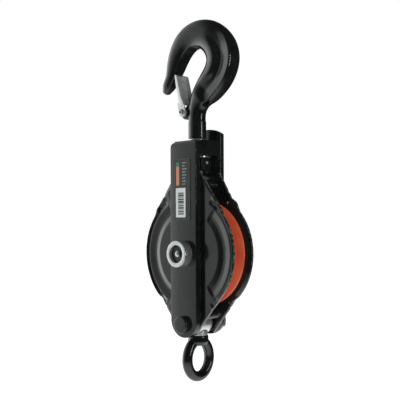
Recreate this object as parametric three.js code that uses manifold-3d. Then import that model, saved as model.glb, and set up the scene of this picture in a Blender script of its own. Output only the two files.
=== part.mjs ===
// Single sheave block: a swivel hook with a safety latch carries two heavy straps, two pressed
// cheek plates with a grooved sheave between them, and a becket eye on a lower pin.
// Millimetres, +Z up. The sheave axis lies along Y and the front strap faces -Y. The hook opens
// towards -X. The origin is the seat of the hook, where the block hangs.

import * as THREE from 'three';
import { mergeVertices } from 'three/addons/utils/BufferGeometryUtils.js';
import Module from 'manifold-3d';

const wasm = await Module();
wasm.setup();

// ---------------------------------------------------------------- driving dimensions

const GAP = 0.3; // clearance between faces that touch on the real block
const ROUND = 24; // facets on a large round
const SMALL_ROUND = 16; // facets on a small round

// Heights are measured from the sheave axle.
const SEAT_Z = 238;
const CROSSHEAD_TOP = 131.5;
const CROSSHEAD_BOTTOM = 113.8;
const LOWER_PIN_Z = -82;

const SHEAVE_RADIUS = 62.5;
const SHEAVE_HALF_WIDTH = 12;
const ROPE_GROOVE_RADIUS = 7;
const GROOVE_CENTRE_RADIUS = 56;
const RIM_EDGE_HALF_GAP = 9.6;
const RIM_INNER_RADIUS = 45;
const WEB_HALF_WIDTH = 5;
const HUB_RADIUS = 25;
const BUSH_RADIUS = 16;

const JOURNAL_RADIUS = 12.4;
const AXLE_END_RADIUS = 9.9;
const AXLE_END_Y = 33.6;
const AXLE_NUT_RADIUS = 15.1;
const AXLE_NUT_FACE_Y = 37;

const CHEEK_RADIUS = 70;
const CHEEK_OUTER_Y = 17; // outer face of the flat middle of a cheek, from the mid plane
const CHEEK_THICKNESS = 3;
const GROOVE_DEPTH = 1.4;
const RIM_FLARE = 1.3;
const NECK_JOGGLE = 2.5;
const NECK_ANGLE = 39.6; // degrees from horizontal to the normal of a neck's slanted edge
const UPPER_NECK_OFFSET = 73.1; // distance from the axle to that edge
const LOWER_NECK_OFFSET = 68.8;
const UPPER_NECK_END = 95;
const LOWER_NECK_END = 94;
const NOTCH_ANGLE = 64.5; // degrees from horizontal to the small notch in a neck's edge
const UPPER_NOTCH_DEPTH = 2.2;
const LOWER_NOTCH_DEPTH = 1;

const STRAP_HALF_WIDTH = 20.5;
const STRAP_INNER_Y = CHEEK_OUTER_Y + GAP;
const STRAP_OUTER_Y = 24.9;
const STRAP_END_CENTRE_Z = -77;
const FRONT_STRAP_TOP = 130.5;
const REAR_STRAP_CORNER_TOP = 141.5;
const REAR_STRAP_CROWN = 5.5;
const STRAP_CORNER = 6.5;

const COLLAR_RADIUS = 10.6;
const COLLAR_BOTTOM = 134.4;
const COLLAR_TOP = 156;
const SHANK_RADIUS = 9.6;
const SHANK_END = 92;
const SWIVEL_NUT_CORNER = 16.2;
const SWIVEL_NUT_HEIGHT = 15;
const NUT_TOP = CROSSHEAD_BOTTOM - 2.1;
const NUT_BOTTOM = NUT_TOP - SWIVEL_NUT_HEIGHT;
const CROSS_PIN_Z = NUT_TOP - 6;
const TRUNNION_RADIUS = 6.5;

const LATCH_PIVOT = { x: -15.4, z: 166.7 };
const LATCH_LEAN = 9.5; // degrees that the closed latch leans towards the tip
const LATCH_LENGTH = 47;
const LATCH_HALF_WIDTH = 10.6;
const LATCH_SHEET = 1.5;
const LATCH_PIN_RADIUS = 2.5;
const LUG_HALF_WIDTH = 4.5;

const PIN_RADIUS = 8;
const PIN_HEAD_RADIUS = 10;
const PIN_HEAD_Y = 31.2;
const PIN_END_Y = 41;
const PIN_WASHER_RADIUS = 14.5;
const PIN_WASHER_OUTER_Y = 27.1;
const PIN_NUT_CORNER = 14;
const PIN_NUT_OUTER_Y = 36.2;
const SPLIT_PIN_Y = 38.6;
const SPLIT_PIN_RADIUS = 1.5;

const EYE_CENTRE_Z = -124.2;
const EYE_RING_RADIUS = 21.5;
const EYE_WIRE_RADIUS = 5.9;
const HUB_BARREL_RADIUS = 13; // of the hub that the eye hangs from
const HUB_HALF_LENGTH = 10.9;
const HUB_BOSS_RADIUS = 11;
const HUB_BOSS_BOTTOM = -96.4;
const EYE_STUB_RADIUS = 5.5;
const EYE_STUB_TOP = -93;
const EYE_COLLAR_RADIUS = 11;
const EYE_COLLAR_BOTTOM = -105;

const SIDE_WASHER_RADIUS = 22;
const SIDE_WASHER_INNER_Y = 12.2;
const SIDE_WASHER_OUTER_Y = 13.7;
const BUSH_HALF_LENGTH = 11.6;
const LABEL_EDGES = { left: -13, right: 12, bottom: 38.8, top: 110.3 };
const LABEL_BACK_Y = STRAP_OUTER_Y + 0.2;
const LABEL_THICKNESS = 0.4;


const SPACER_PLACES = {
  upper_left_spacer: { x: -15, z: 80 },
  upper_right_spacer: { x: 15, z: 80 },
  lower_left_spacer: { x: -20.5, z: -71 },
  lower_right_spacer: { x: 20.5, z: -71 },
};
const SPACER_RADIUS = 5;
const RIVET_RADIUS = 2.6;
const RIVET_HEAD_RADIUS = 4.2;
const RIVET_HEAD_HEIGHT = 1.6;

// ---------------------------------------------------------------- solids and small helpers

function solidOf(geometry) {
  const bare = geometry.clone();
  bare.deleteAttribute('normal');
  bare.deleteAttribute('uv');
  const merged = mergeVertices(bare, 1e-4);
  return new wasm.Manifold(new wasm.Mesh({
    numProp: 3,
    vertProperties: new Float32Array(merged.attributes.position.array),
    triVerts: new Uint32Array(merged.index.array),
  }));
}

function geometryOf(solid) {
  const mesh = solid.getMesh();
  const geometry = new THREE.BufferGeometry();
  geometry.setAttribute('position', new THREE.BufferAttribute(mesh.vertProperties, 3));
  geometry.setIndex(new THREE.BufferAttribute(mesh.triVerts, 1));
  geometry.computeVertexNormals();
  return geometry;
}

function joined(first, ...others) {
  return geometryOf(others.reduce((solid, other) => solid.add(solidOf(other)), solidOf(first)));
}

function cut(body, ...tools) {
  return geometryOf(tools.reduce((solid, tool) => solid.subtract(solidOf(tool)), solidOf(body)));
}

function common(first, second) {
  return geometryOf(solidOf(first).intersect(solidOf(second)));
}

// Cylinder along Y from y0 to y1.
function rodY(radius, y0, y1, x = 0, z = 0, facets = ROUND) {
  const geometry = new THREE.CylinderGeometry(radius, radius, y1 - y0, facets);
  geometry.translate(x, (y0 + y1) / 2, z);
  return geometry;
}

// Cylinder along Z from z0 to z1, optionally tapered.
function rodZ(radius, z0, z1, topRadius = radius, facets = ROUND) {
  const geometry = new THREE.CylinderGeometry(topRadius, radius, z1 - z0, facets);
  geometry.rotateX(Math.PI / 2);
  geometry.translate(0, 0, (z0 + z1) / 2);
  return geometry;
}

function box(x0, x1, y0, y1, z0, z1) {
  const geometry = new THREE.BoxGeometry(x1 - x0, y1 - y0, z1 - z0);
  geometry.translate((x0 + x1) / 2, (y0 + y1) / 2, (z0 + z1) / 2);
  return geometry;
}

// Solid of revolution about Y, from a profile of [radius, y] points that closes on itself.
function turnedY(profile, facets = ROUND) {
  const points = [...profile, profile[0]].map(([radius, y]) => new THREE.Vector2(radius, y));
  return new THREE.LatheGeometry(points, facets);
}

// An outline drawn in X and Z, extruded along Y from y0 to y1.
function plateY(shape, y0, y1, curveSegments = 12) {
  const geometry = new THREE.ExtrudeGeometry(shape, { depth: y1 - y0, bevelEnabled: false, curveSegments });
  geometry.rotateX(Math.PI / 2);
  geometry.translate(0, y1, 0);
  return geometry;
}

// An outline drawn in Y and Z, extruded along X from x0 to x1.
function plateX(shape, x0, x1, curveSegments = 12) {
  const geometry = new THREE.ExtrudeGeometry(shape, { depth: x1 - x0, bevelEnabled: false, curveSegments });
  geometry.rotateX(Math.PI / 2);
  geometry.rotateZ(Math.PI / 2);
  geometry.translate(x0, 0, 0);
  return geometry;
}

function mirroredY(geometry) {
  return geometryOf(solidOf(geometry).mirror([0, 1, 0]));
}

function smoothStep(value, low, high) {
  return THREE.MathUtils.smoothstep(value, low, high);
}

// ---------------------------------------------------------------- finishes

const FINISHES = {
  blackPaint: { color: 0x2b2f2d, roughness: 0.4, metalness: 0.3 },
  orangePaint: { color: 0xc4452a, roughness: 0.35, metalness: 0.0 },
  brightSteel: { color: 0xd6d9d8, roughness: 0.28, metalness: 1.0 },
  darkSteel: { color: 0x59626a, roughness: 0.4, metalness: 1.0 },
  bronze: { color: 0xa9793f, roughness: 0.4, metalness: 1.0 },
  label: { color: 0x3a3f3d, roughness: 0.5, metalness: 0.0 },
};

const group = new THREE.Group();
const block = new THREE.Group();
block.position.set(0, 0, -SEAT_Z);
group.add(block);

function place(name, geometry, finish) {
  const mesh = new THREE.Mesh(geometry, new THREE.MeshStandardMaterial(FINISHES[finish]));
  mesh.name = name;
  block.add(mesh);
}

// ---------------------------------------------------------------- hook and swivel

// Stations of the forged hook: centre in X and Z, half depth in the hook's plane, half width in Y.
const HOOK_STATIONS = [
  { x: 0, z: 155, depth: 10.2, width: 10.2 },
  { x: 0.5, z: 166, depth: 10.4, width: 10.2 },
  { x: 5, z: 178, depth: 13.4, width: 11 },
  { x: 15.7, z: 189.5, depth: 17.8, width: 12.5 },
  { x: 31, z: 203.5, depth: 20.4, width: 13.5 },
  { x: 39.7, z: 222, depth: 21.2, width: 14 },
  { x: 32, z: 242.5, depth: 20, width: 14 },
  { x: 10, z: 255.7, depth: 17.9, width: 14 },
  { x: -13, z: 252.5, depth: 16, width: 13.5 },
  { x: -28, z: 237, depth: 13.5, width: 12.5 },
  { x: -35, z: 221, depth: 10.5, width: 11 },
  { x: -40.5, z: 209, depth: 8, width: 9 },
  { x: -46.5, z: 200.2, depth: 6.6, width: 7 },
  { x: -49.6, z: 195.4, depth: 4.4, width: 4.5 },
];
const HOOK_STEPS = 30;
const HOOK_SECTION_POINTS = 12;

const hookCentres = new THREE.CatmullRomCurve3(HOOK_STATIONS.map((s) => new THREE.Vector3(s.x, 0, s.z)));
const hookSizes = new THREE.CatmullRomCurve3(
  HOOK_STATIONS.map((s) => new THREE.Vector3(s.depth, s.width, 0)));

function hookBody() {
  const positions = [];
  const indices = [];
  for (let i = 0; i <= HOOK_STEPS; i += 1) {
    const centre = hookCentres.getPoint(i / HOOK_STEPS);
    const along = hookCentres.getTangent(i / HOOK_STEPS);
    const { x: depth, y: width } = hookSizes.getPoint(i / HOOK_STEPS);
    for (let j = 0; j < HOOK_SECTION_POINTS; j += 1) {
      const angle = (2 * Math.PI * j) / HOOK_SECTION_POINTS;
      const across = depth * Math.cos(angle);
      positions.push(centre.x + across * along.z, width * Math.sin(angle), centre.z - across * along.x);
    }
  }
  const ring = (i, j) => i * HOOK_SECTION_POINTS + (j % HOOK_SECTION_POINTS);
  for (let i = 0; i < HOOK_STEPS; i += 1) {
    for (let j = 0; j < HOOK_SECTION_POINTS; j += 1) {
      indices.push(ring(i, j), ring(i, j + 1), ring(i + 1, j));
      indices.push(ring(i + 1, j), ring(i, j + 1), ring(i + 1, j + 1));
    }
  }
  for (let j = 1; j < HOOK_SECTION_POINTS - 1; j += 1) {
    indices.push(ring(0, 0), ring(0, j + 1), ring(0, j));
    indices.push(ring(HOOK_STEPS, 0), ring(HOOK_STEPS, j), ring(HOOK_STEPS, j + 1));
  }
  const geometry = new THREE.BufferGeometry();
  geometry.setAttribute('position', new THREE.Float32BufferAttribute(positions, 3));
  geometry.setIndex(indices);
  return geometry;
}

function hook() {
  const lugOutline = new THREE.Shape();
  lugOutline.moveTo(-2, 176);
  lugOutline.lineTo(-11, 174.5);
  lugOutline.absarc(LATCH_PIVOT.x, LATCH_PIVOT.z, 5, Math.PI * 0.6, Math.PI * 1.4, false);
  lugOutline.lineTo(-9, 157);
  lugOutline.lineTo(-2, 157);
  lugOutline.closePath();
  const lug = plateY(lugOutline, -LUG_HALF_WIDTH, LUG_HALF_WIDTH, 6);
  const forging = joined(
    hookBody(),
    rodZ(COLLAR_RADIUS, COLLAR_BOTTOM, COLLAR_TOP),
    rodZ(SHANK_RADIUS, SHANK_END, COLLAR_BOTTOM + 1),
    lug,
  );
  const pivotHole = rodY(LATCH_PIN_RADIUS + GAP, -9, 9, LATCH_PIVOT.x, LATCH_PIVOT.z, SMALL_ROUND);
  const crossHole = rodZ(2.3, -12, 12, 2.3, SMALL_ROUND);
  crossHole.rotateY(Math.PI / 2);
  crossHole.translate(0, 0, CROSS_PIN_Z);
  return cut(forging, pivotHole, crossHole);
}

function swivelNut() {
  const hexagon = rodZ(SWIVEL_NUT_CORNER, NUT_BOTTOM, NUT_TOP, SWIVEL_NUT_CORNER, 6);
  const crossHole = rodZ(2.3, -20, 20, 2.3, SMALL_ROUND);
  crossHole.rotateY(Math.PI / 2);
  crossHole.translate(0, 0, CROSS_PIN_Z);
  return cut(hexagon, rodZ(SHANK_RADIUS + GAP, NUT_BOTTOM - 1, NUT_TOP + 1), crossHole);
}

function crossPin() {
  const pin = rodZ(2, -16, 16, 2, SMALL_ROUND);
  pin.rotateY(Math.PI / 2);
  pin.translate(0, 0, CROSS_PIN_Z);
  return pin;
}

// Washer on the shank of the hook.
function washerZ(radius, z0, z1) {
  return cut(rodZ(radius, z0, z1), rodZ(SHANK_RADIUS + GAP, z0 - 1, z1 + 1));
}

// ---------------------------------------------------------------- latch

// Drawn upright about its pivot, then leaned over and moved to the lug.
function latchPlaced(geometry) {
  geometry.rotateY(THREE.MathUtils.degToRad(-LATCH_LEAN));
  geometry.translate(LATCH_PIVOT.x, 0, LATCH_PIVOT.z);
  return geometry;
}

function latchPlate() {
  const back = -5.2; // outer face of the web
  const flange = new THREE.Shape();
  flange.moveTo(back, LATCH_LENGTH);
  flange.lineTo(back, 0);
  flange.absarc(0, 0, 5.6, Math.PI * 1.12, Math.PI * 2.2, false);
  flange.lineTo(0.2, 18);
  flange.lineTo(0.6, LATCH_LENGTH);
  flange.closePath();
  const near = plateY(flange, -LATCH_HALF_WIDTH, -LATCH_HALF_WIDTH + LATCH_SHEET, 8);
  const far = plateY(flange, LATCH_HALF_WIDTH - LATCH_SHEET, LATCH_HALF_WIDTH, 8);
  const web = box(back, back + LATCH_SHEET, -LATCH_HALF_WIDTH, LATCH_HALF_WIDTH, 9, LATCH_LENGTH);
  const hole = rodY(LATCH_PIN_RADIUS + GAP, -12, 12, 0, 0, SMALL_ROUND);
  return latchPlaced(cut(joined(near, far, web), hole));
}

function latchPin() {
  const headY = LATCH_HALF_WIDTH + GAP;
  const { x, z } = LATCH_PIVOT;
  return joined(
    rodY(LATCH_PIN_RADIUS, -headY - 0.6, headY + 0.6, x, z, SMALL_ROUND),
    rodY(3.9, -headY - 1.5, -headY, x, z, SMALL_ROUND),
    rodY(3.9, headY, headY + 1.5, x, z, SMALL_ROUND),
  );
}

// Torsion spring: turns round the latch pin, with one leg up the web.
class SpringCurve extends THREE.Curve {
  getPoint(t, target = new THREE.Vector3()) {
    const turns = 2.5;
    const coilShare = 0.8;
    const radius = 4;
    const pitch = 1.1;
    const angle = Math.min(t / coilShare, 1) * turns * 2 * Math.PI;
    const y = -LUG_HALF_WIDTH - 0.9 - pitch * Math.min(t / coilShare, 1) * turns;
    const leg = Math.max(0, (t - coilShare) / (1 - coilShare)) * 14;
    return target.set(radius * Math.cos(angle) + 0.18 * leg, y, -radius * Math.sin(angle) + leg);
  }
}

function latchSpring() {
  const section = new THREE.Shape();
  section.absarc(0, 0, 0.5, 0, 2 * Math.PI, false);
  return latchPlaced(new THREE.ExtrudeGeometry(section, {
    steps: 34, curveSegments: 3, bevelEnabled: false, extrudePath: new SpringCurve(),
  }));
}

// ---------------------------------------------------------------- straps and crosshead

function strapOutline(corner, crown, top) {
  const outline = new THREE.Shape();
  outline.moveTo(-STRAP_HALF_WIDTH, STRAP_END_CENTRE_Z);
  outline.absarc(0, STRAP_END_CENTRE_Z, STRAP_HALF_WIDTH, Math.PI, 2 * Math.PI, false);
  outline.lineTo(STRAP_HALF_WIDTH, top - corner);
  outline.quadraticCurveTo(STRAP_HALF_WIDTH, top, STRAP_HALF_WIDTH - corner, top);
  outline.quadraticCurveTo(0, top + 2 * crown, -STRAP_HALF_WIDTH + corner, top);
  outline.quadraticCurveTo(-STRAP_HALF_WIDTH, top, -STRAP_HALF_WIDTH, top - corner);
  outline.closePath();
  return outline;
}

function strapHoles(side) {
  const trunnionZ = (CROSSHEAD_TOP + CROSSHEAD_BOTTOM) / 2;
  const [low, high] = side < 0 ? [-STRAP_INNER_Y - 4.3, -10] : [10, STRAP_INNER_Y + 4.3];
  return [
    rodY(AXLE_END_RADIUS + GAP, -30, 30),
    rodY(PIN_RADIUS + GAP, -30, 30, 0, LOWER_PIN_Z),
    rodY(TRUNNION_RADIUS + GAP, low, high, 0, trunnionZ, SMALL_ROUND),
  ];
}

// The front strap ends level with the crosshead, its top edge rolled over.
function frontStrap() {
  const flat = plateY(strapOutline(STRAP_CORNER, 0, FRONT_STRAP_TOP), -STRAP_OUTER_Y, -STRAP_INNER_Y);
  const side = new THREE.Shape();
  side.moveTo(-STRAP_INNER_Y, -130);
  side.lineTo(-STRAP_INNER_Y, FRONT_STRAP_TOP);
  side.lineTo(-STRAP_OUTER_Y + 6.5, FRONT_STRAP_TOP);
  side.quadraticCurveTo(-STRAP_OUTER_Y, FRONT_STRAP_TOP, -STRAP_OUTER_Y, FRONT_STRAP_TOP - 8.5);
  side.lineTo(-STRAP_OUTER_Y, -130);
  side.closePath();
  return cut(common(flat, plateX(side, -40, 40, 5)), ...strapHoles(-1));
}

// The rear strap stands above the crosshead with an arched top.
function rearStrap() {
  const outline = strapOutline(0.8, REAR_STRAP_CROWN, REAR_STRAP_CORNER_TOP);
  return cut(plateY(outline, STRAP_INNER_Y, STRAP_OUTER_Y), ...strapHoles(1));
}

function crosshead() {
  const half = STRAP_INNER_Y - GAP;
  const middle = (CROSSHEAD_TOP + CROSSHEAD_BOTTOM) / 2;
  const body = box(-STRAP_HALF_WIDTH, STRAP_HALF_WIDTH, -half, half, CROSSHEAD_BOTTOM, CROSSHEAD_TOP);
  const trunnions = rodY(TRUNNION_RADIUS, -half - 4, half + 4, 0, middle, SMALL_ROUND);
  return cut(joined(body, trunnions), rodZ(SHANK_RADIUS + GAP, 100, 140));
}

// ---------------------------------------------------------------- cheek plates

const toDegrees = THREE.MathUtils.radToDeg;

// Distance from the axle to the cheek's edge, at an angle in X and Z: a circle that steps out to
// the slanted edge of a neck, which has one small notch.
function cheekEdge(angle) {
  const fromLevel = toDegrees(Math.asin(Math.abs(Math.sin(angle))));
  const upper = Math.sin(angle) > 0;
  const offset = upper ? UPPER_NECK_OFFSET : LOWER_NECK_OFFSET;
  const end = upper ? UPPER_NECK_END : LOWER_NECK_END;
  const notchDepth = upper ? UPPER_NOTCH_DEPTH : LOWER_NOTCH_DEPTH;
  const line = offset / Math.cos(THREE.MathUtils.degToRad(fromLevel - NECK_ANGLE));
  const slanted = Math.max(line, CHEEK_RADIUS);
  const shoulder = smoothStep(fromLevel, 43, 51);
  const notch = notchDepth * Math.max(0, 1 - Math.abs(fromLevel - NOTCH_ANGLE) / 4);
  const edge = CHEEK_RADIUS + (slanted - CHEEK_RADIUS) * shoulder - notch;
  return Math.min(edge, end / Math.max(Math.abs(Math.sin(angle)), 0.01));
}

// Outer face of the pressed cheek: a shallow groove each side, a flared rim and joggled necks.
function cheekFace(radius, angle) {
  const fromLevel = toDegrees(Math.asin(Math.abs(Math.sin(angle))));
  const grooveSection = smoothStep(radius, 46.5, 51.9) * (1 - smoothStep(radius, 55.4, 61.5));
  const groove = GROOVE_DEPTH * grooveSection * (1 - smoothStep(fromLevel, 48, 54));
  const flare = RIM_FLARE * smoothStep(radius, 65, 69.5) * (1 - smoothStep(fromLevel, 44, 50));
  const joggle = NECK_JOGGLE * smoothStep(radius, 64, 68.5) * smoothStep(fromLevel, 47, 53);
  return CHEEK_OUTER_Y - groove + flare - joggle;
}

// Angles round the cheek, closer together where its edge turns from the circle into a neck.
const LEVELS = [0, 11, 22, 33, 43, 47, 51, 56, 61, 64.5, 68.5, 75, 82];

function cheekAngles() {
  const quarter = LEVELS.map((level) => THREE.MathUtils.degToRad(level));
  const back = [Math.PI / 2, ...quarter.slice(1).reverse().map((angle) => Math.PI - angle)];
  const upper = [...quarter, ...back];
  return [...upper, ...upper.map((angle) => angle + Math.PI)];
}

// A sheet of even thickness, laid out in rings round the axle bore.
function cheek() {
  const rings = [AXLE_END_RADIUS + GAP, 46.5, 52, 55.4, 61.5, 65];
  const angles = cheekAngles();
  const steps = angles.length;
  const count = rings.length + 2;
  const positions = [];
  const indices = [];
  for (const inward of [0, CHEEK_THICKNESS]) {
    for (const angle of angles) {
      const edge = cheekEdge(angle);
      for (const radius of [...rings, Math.min(68.6, edge - 1), edge]) {
        const y = cheekFace(radius, angle) - inward;
        positions.push(radius * Math.cos(angle), -y, radius * Math.sin(angle));
      }
    }
  }
  const at = (layer, i, j) => (layer * steps + (i % steps)) * count + j;
  const quad = (a, b, c, d) => indices.push(a, b, c, a, c, d);
  for (let i = 0; i < steps; i += 1) {
    for (let j = 0; j < count - 1; j += 1) {
      quad(at(0, i, j), at(0, i, j + 1), at(0, i + 1, j + 1), at(0, i + 1, j));
      quad(at(1, i, j), at(1, i + 1, j), at(1, i + 1, j + 1), at(1, i, j + 1));
    }
    quad(at(0, i, 0), at(0, i + 1, 0), at(1, i + 1, 0), at(1, i, 0));
    quad(at(0, i, count - 1), at(1, i, count - 1), at(1, i + 1, count - 1), at(0, i + 1, count - 1));
  }
  const sheet = new THREE.BufferGeometry();
  sheet.setAttribute('position', new THREE.Float32BufferAttribute(positions, 3));
  sheet.setIndex(indices);
  const rivetHoles = Object.values(SPACER_PLACES).map(({ x, z }) => (
    rodY(RIVET_RADIUS + GAP, -20, -5, x, z, SMALL_ROUND)));
  return cut(sheet, rodY(PIN_RADIUS + GAP, -20, -5, 0, LOWER_PIN_Z), ...rivetHoles);
}

// A distance piece, riveted over outside both cheeks, that holds them apart.
function spacer({ x, z }) {
  const neckOuter = CHEEK_OUTER_Y - NECK_JOGGLE;
  const barrel = neckOuter - CHEEK_THICKNESS - GAP;
  const headInner = neckOuter + GAP;
  const headOuter = headInner + RIVET_HEAD_HEIGHT;
  return joined(
    rodY(SPACER_RADIUS, -barrel, barrel, x, z, SMALL_ROUND),
    rodY(RIVET_RADIUS, -headInner - 0.5, headInner + 0.5, x, z, SMALL_ROUND),
    rodY(RIVET_HEAD_RADIUS, -headOuter, -headInner, x, z, SMALL_ROUND),
    rodY(RIVET_HEAD_RADIUS, headInner, headOuter, x, z, SMALL_ROUND),
  );
}

// ---------------------------------------------------------------- sheave and axle

function sheave() {
  const groove = [];
  for (let i = 0; i <= 6; i += 1) {
    const angle = (Math.PI * i) / 6;
    groove.push([
      GROOVE_CENTRE_RADIUS - ROPE_GROOVE_RADIUS * Math.sin(angle),
      ROPE_GROOVE_RADIUS * Math.cos(angle),
    ]);
  }
  const half = [
    [BUSH_RADIUS + GAP, SHEAVE_HALF_WIDTH - 0.2],
    [HUB_RADIUS, SHEAVE_HALF_WIDTH - 0.2],
    [HUB_RADIUS + 1, WEB_HALF_WIDTH],
    [RIM_INNER_RADIUS, WEB_HALF_WIDTH],
    [RIM_INNER_RADIUS + 2, SHEAVE_HALF_WIDTH],
    [SHEAVE_RADIUS, SHEAVE_HALF_WIDTH],
    [SHEAVE_RADIUS, RIM_EDGE_HALF_GAP],
  ];
  const otherHalf = half.map(([radius, y]) => [radius, -y]).reverse();
  return turnedY([...half, ...groove, ...otherHalf].reverse(), 40);
}

function ringY(inner, outer, y0, y1, facets = ROUND) {
  return turnedY([[inner, y0], [outer, y0], [outer, y1], [inner, y1]], facets);
}

function sheaveBush() {
  return ringY(JOURNAL_RADIUS + GAP, BUSH_RADIUS, -BUSH_HALF_LENGTH, BUSH_HALF_LENGTH);
}

function sideWasher() {
  return ringY(JOURNAL_RADIUS + GAP, SIDE_WASHER_RADIUS, SIDE_WASHER_INNER_Y, SIDE_WASHER_OUTER_Y);
}

function axlePin() {
  const shoulder = CHEEK_OUTER_Y - CHEEK_THICKNESS - GAP;
  const body = joined(
    rodY(JOURNAL_RADIUS, -shoulder, shoulder),
    rodY(AXLE_END_RADIUS, -AXLE_END_Y, AXLE_END_Y),
  );
  const greaseWay = rodY(1.6, -AXLE_END_Y - 1, 0, 0, 0, 12);
  const nippleSeat = rodY(3.3, -AXLE_END_Y - 1, -AXLE_END_Y + 6.3, 0, 0, SMALL_ROUND);
  const feedHole = rodZ(1.6, -1.5, 15, 1.6, 12);
  return cut(body, joined(greaseWay, nippleSeat, feedHole));
}

function axleNut() {
  const bevel = 1;
  const inner = AXLE_END_RADIUS + GAP;
  const back = -STRAP_OUTER_Y - GAP;
  return turnedY([
    [inner, back], [inner, -AXLE_NUT_FACE_Y], [AXLE_NUT_RADIUS - bevel, -AXLE_NUT_FACE_Y],
    [AXLE_NUT_RADIUS, -AXLE_NUT_FACE_Y + bevel], [AXLE_NUT_RADIUS, back],
  ]);
}

function greaseNipple() {
  const face = -AXLE_END_Y - GAP;
  return joined(
    rodY(3, face - 0.1, -AXLE_END_Y + 6, 0, 0, SMALL_ROUND),
    rodY(3.9, face - 1.4, face, 0, 0, 6),
    rodY(2.3, face - 2.7, face - 1, 0, 0, SMALL_ROUND),
  );
}

// ---------------------------------------------------------------- lower pin and becket eye

function lowerPin() {
  const head = -STRAP_OUTER_Y - GAP;
  const body = joined(
    rodY(PIN_HEAD_RADIUS, -PIN_HEAD_Y, head, 0, LOWER_PIN_Z),
    rodY(PIN_RADIUS, head - 1, PIN_END_Y, 0, LOWER_PIN_Z),
  );
  const holeRadius = SPLIT_PIN_RADIUS + 0.4;
  const splitPinHole = rodZ(holeRadius, LOWER_PIN_Z - 12, LOWER_PIN_Z + 12, holeRadius, 12);
  splitPinHole.translate(0, SPLIT_PIN_Y, 0);
  return cut(body, splitPinHole);
}

function lowerNut() {
  const back = PIN_WASHER_OUTER_Y + GAP;
  const hexagon = rodY(PIN_NUT_CORNER, back, PIN_NUT_OUTER_Y, 0, LOWER_PIN_Z, 6);
  return cut(hexagon, rodY(PIN_RADIUS + GAP, back - 5, PIN_NUT_OUTER_Y + 5, 0, LOWER_PIN_Z));
}

function lowerWasher() {
  const washer = ringY(PIN_RADIUS + GAP, PIN_WASHER_RADIUS, STRAP_OUTER_Y + GAP, PIN_WASHER_OUTER_Y);
  washer.translate(0, 0, LOWER_PIN_Z);
  return washer;
}

function splitPin() {
  const leg = rodZ(SPLIT_PIN_RADIUS, LOWER_PIN_Z - 13, LOWER_PIN_Z + 11, SPLIT_PIN_RADIUS, 12);
  const eye = new THREE.TorusGeometry(2.4, 1.1, 8, 14);
  eye.rotateX(Math.PI / 2);
  eye.translate(0, 0, LOWER_PIN_Z + 13);
  const pin = joined(leg, eye);
  pin.translate(0, SPLIT_PIN_Y, 0);
  return pin;
}

// The plated hub turns on the lower pin and takes the eye's stub in its boss.
function becketHub() {
  const barrel = rodY(HUB_BARREL_RADIUS, -HUB_HALF_LENGTH, HUB_HALF_LENGTH, 0, LOWER_PIN_Z);
  const boss = rodZ(HUB_BOSS_RADIUS, HUB_BOSS_BOTTOM, LOWER_PIN_Z);
  const pinBore = rodY(PIN_RADIUS + GAP, -20, 20, 0, LOWER_PIN_Z);
  const socket = rodZ(EYE_STUB_RADIUS + GAP, HUB_BOSS_BOTTOM - 1, EYE_STUB_TOP + GAP);
  return cut(joined(barrel, boss), pinBore, socket);
}

function becketEye() {
  const ring = new THREE.TorusGeometry(EYE_RING_RADIUS, EYE_WIRE_RADIUS, 10, 24);
  ring.rotateX(Math.PI / 2);
  ring.rotateZ(Math.PI / 2);
  ring.translate(0, 0, EYE_CENTRE_Z);
  const collar = rodZ(EYE_COLLAR_RADIUS, EYE_COLLAR_BOTTOM, HUB_BOSS_BOTTOM - GAP);
  const stub = rodZ(EYE_STUB_RADIUS, EYE_COLLAR_BOTTOM, EYE_STUB_TOP);
  const eyeHole = rodY(EYE_RING_RADIUS - EYE_WIRE_RADIUS + 0.4, -20, 20);
  eyeHole.rotateZ(Math.PI / 2);
  eyeHole.translate(0, 0, EYE_CENTRE_Z);
  return joined(ring, cut(collar, eyeHole), stub);
}

function label() {
  const { left, right, bottom, top } = LABEL_EDGES;
  return box(left, right, -LABEL_BACK_Y - LABEL_THICKNESS, -LABEL_BACK_Y, bottom, top);
}

// ---------------------------------------------------------------- assembly

place('hook', hook(), 'blackPaint');
place('swivel_nut', swivelNut(), 'darkSteel');
place('swivel_cross_pin', crossPin(), 'brightSteel');
place('upper_thrust_washer', washerZ(COLLAR_RADIUS, CROSSHEAD_TOP + GAP, COLLAR_BOTTOM - GAP), 'brightSteel');
place('lower_thrust_washer', washerZ(15.5, NUT_TOP + GAP, CROSSHEAD_BOTTOM - GAP), 'brightSteel');
place('latch', latchPlate(), 'brightSteel');
place('latch_pin', latchPin(), 'darkSteel');
place('latch_spring', latchSpring(), 'brightSteel');
place('crosshead', crosshead(), 'blackPaint');
place('front_strap', frontStrap(), 'blackPaint');
place('rear_strap', rearStrap(), 'blackPaint');
place('front_cheek', cheek(), 'blackPaint');
place('rear_cheek', mirroredY(cheek()), 'blackPaint');
for (const [name, at] of Object.entries(SPACER_PLACES)) {
  place(name, spacer(at), 'blackPaint');
}
place('sheave', sheave(), 'orangePaint');
place('sheave_bush', sheaveBush(), 'bronze');
place('front_side_washer', mirroredY(sideWasher()), 'bronze');
place('rear_side_washer', sideWasher(), 'bronze');
place('axle_pin', axlePin(), 'darkSteel');
place('front_axle_nut', axleNut(), 'brightSteel');
place('rear_axle_nut', mirroredY(axleNut()), 'brightSteel');
place('grease_nipple', greaseNipple(), 'brightSteel');
place('lower_pin', lowerPin(), 'blackPaint');
place('lower_pin_washer', lowerWasher(), 'brightSteel');
place('lower_pin_nut', lowerNut(), 'brightSteel');
place('lower_split_pin', splitPin(), 'brightSteel');
place('becket_hub', becketHub(), 'brightSteel');
place('becket_eye', becketEye(), 'blackPaint');
place('label', label(), 'label');

export default group;
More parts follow.
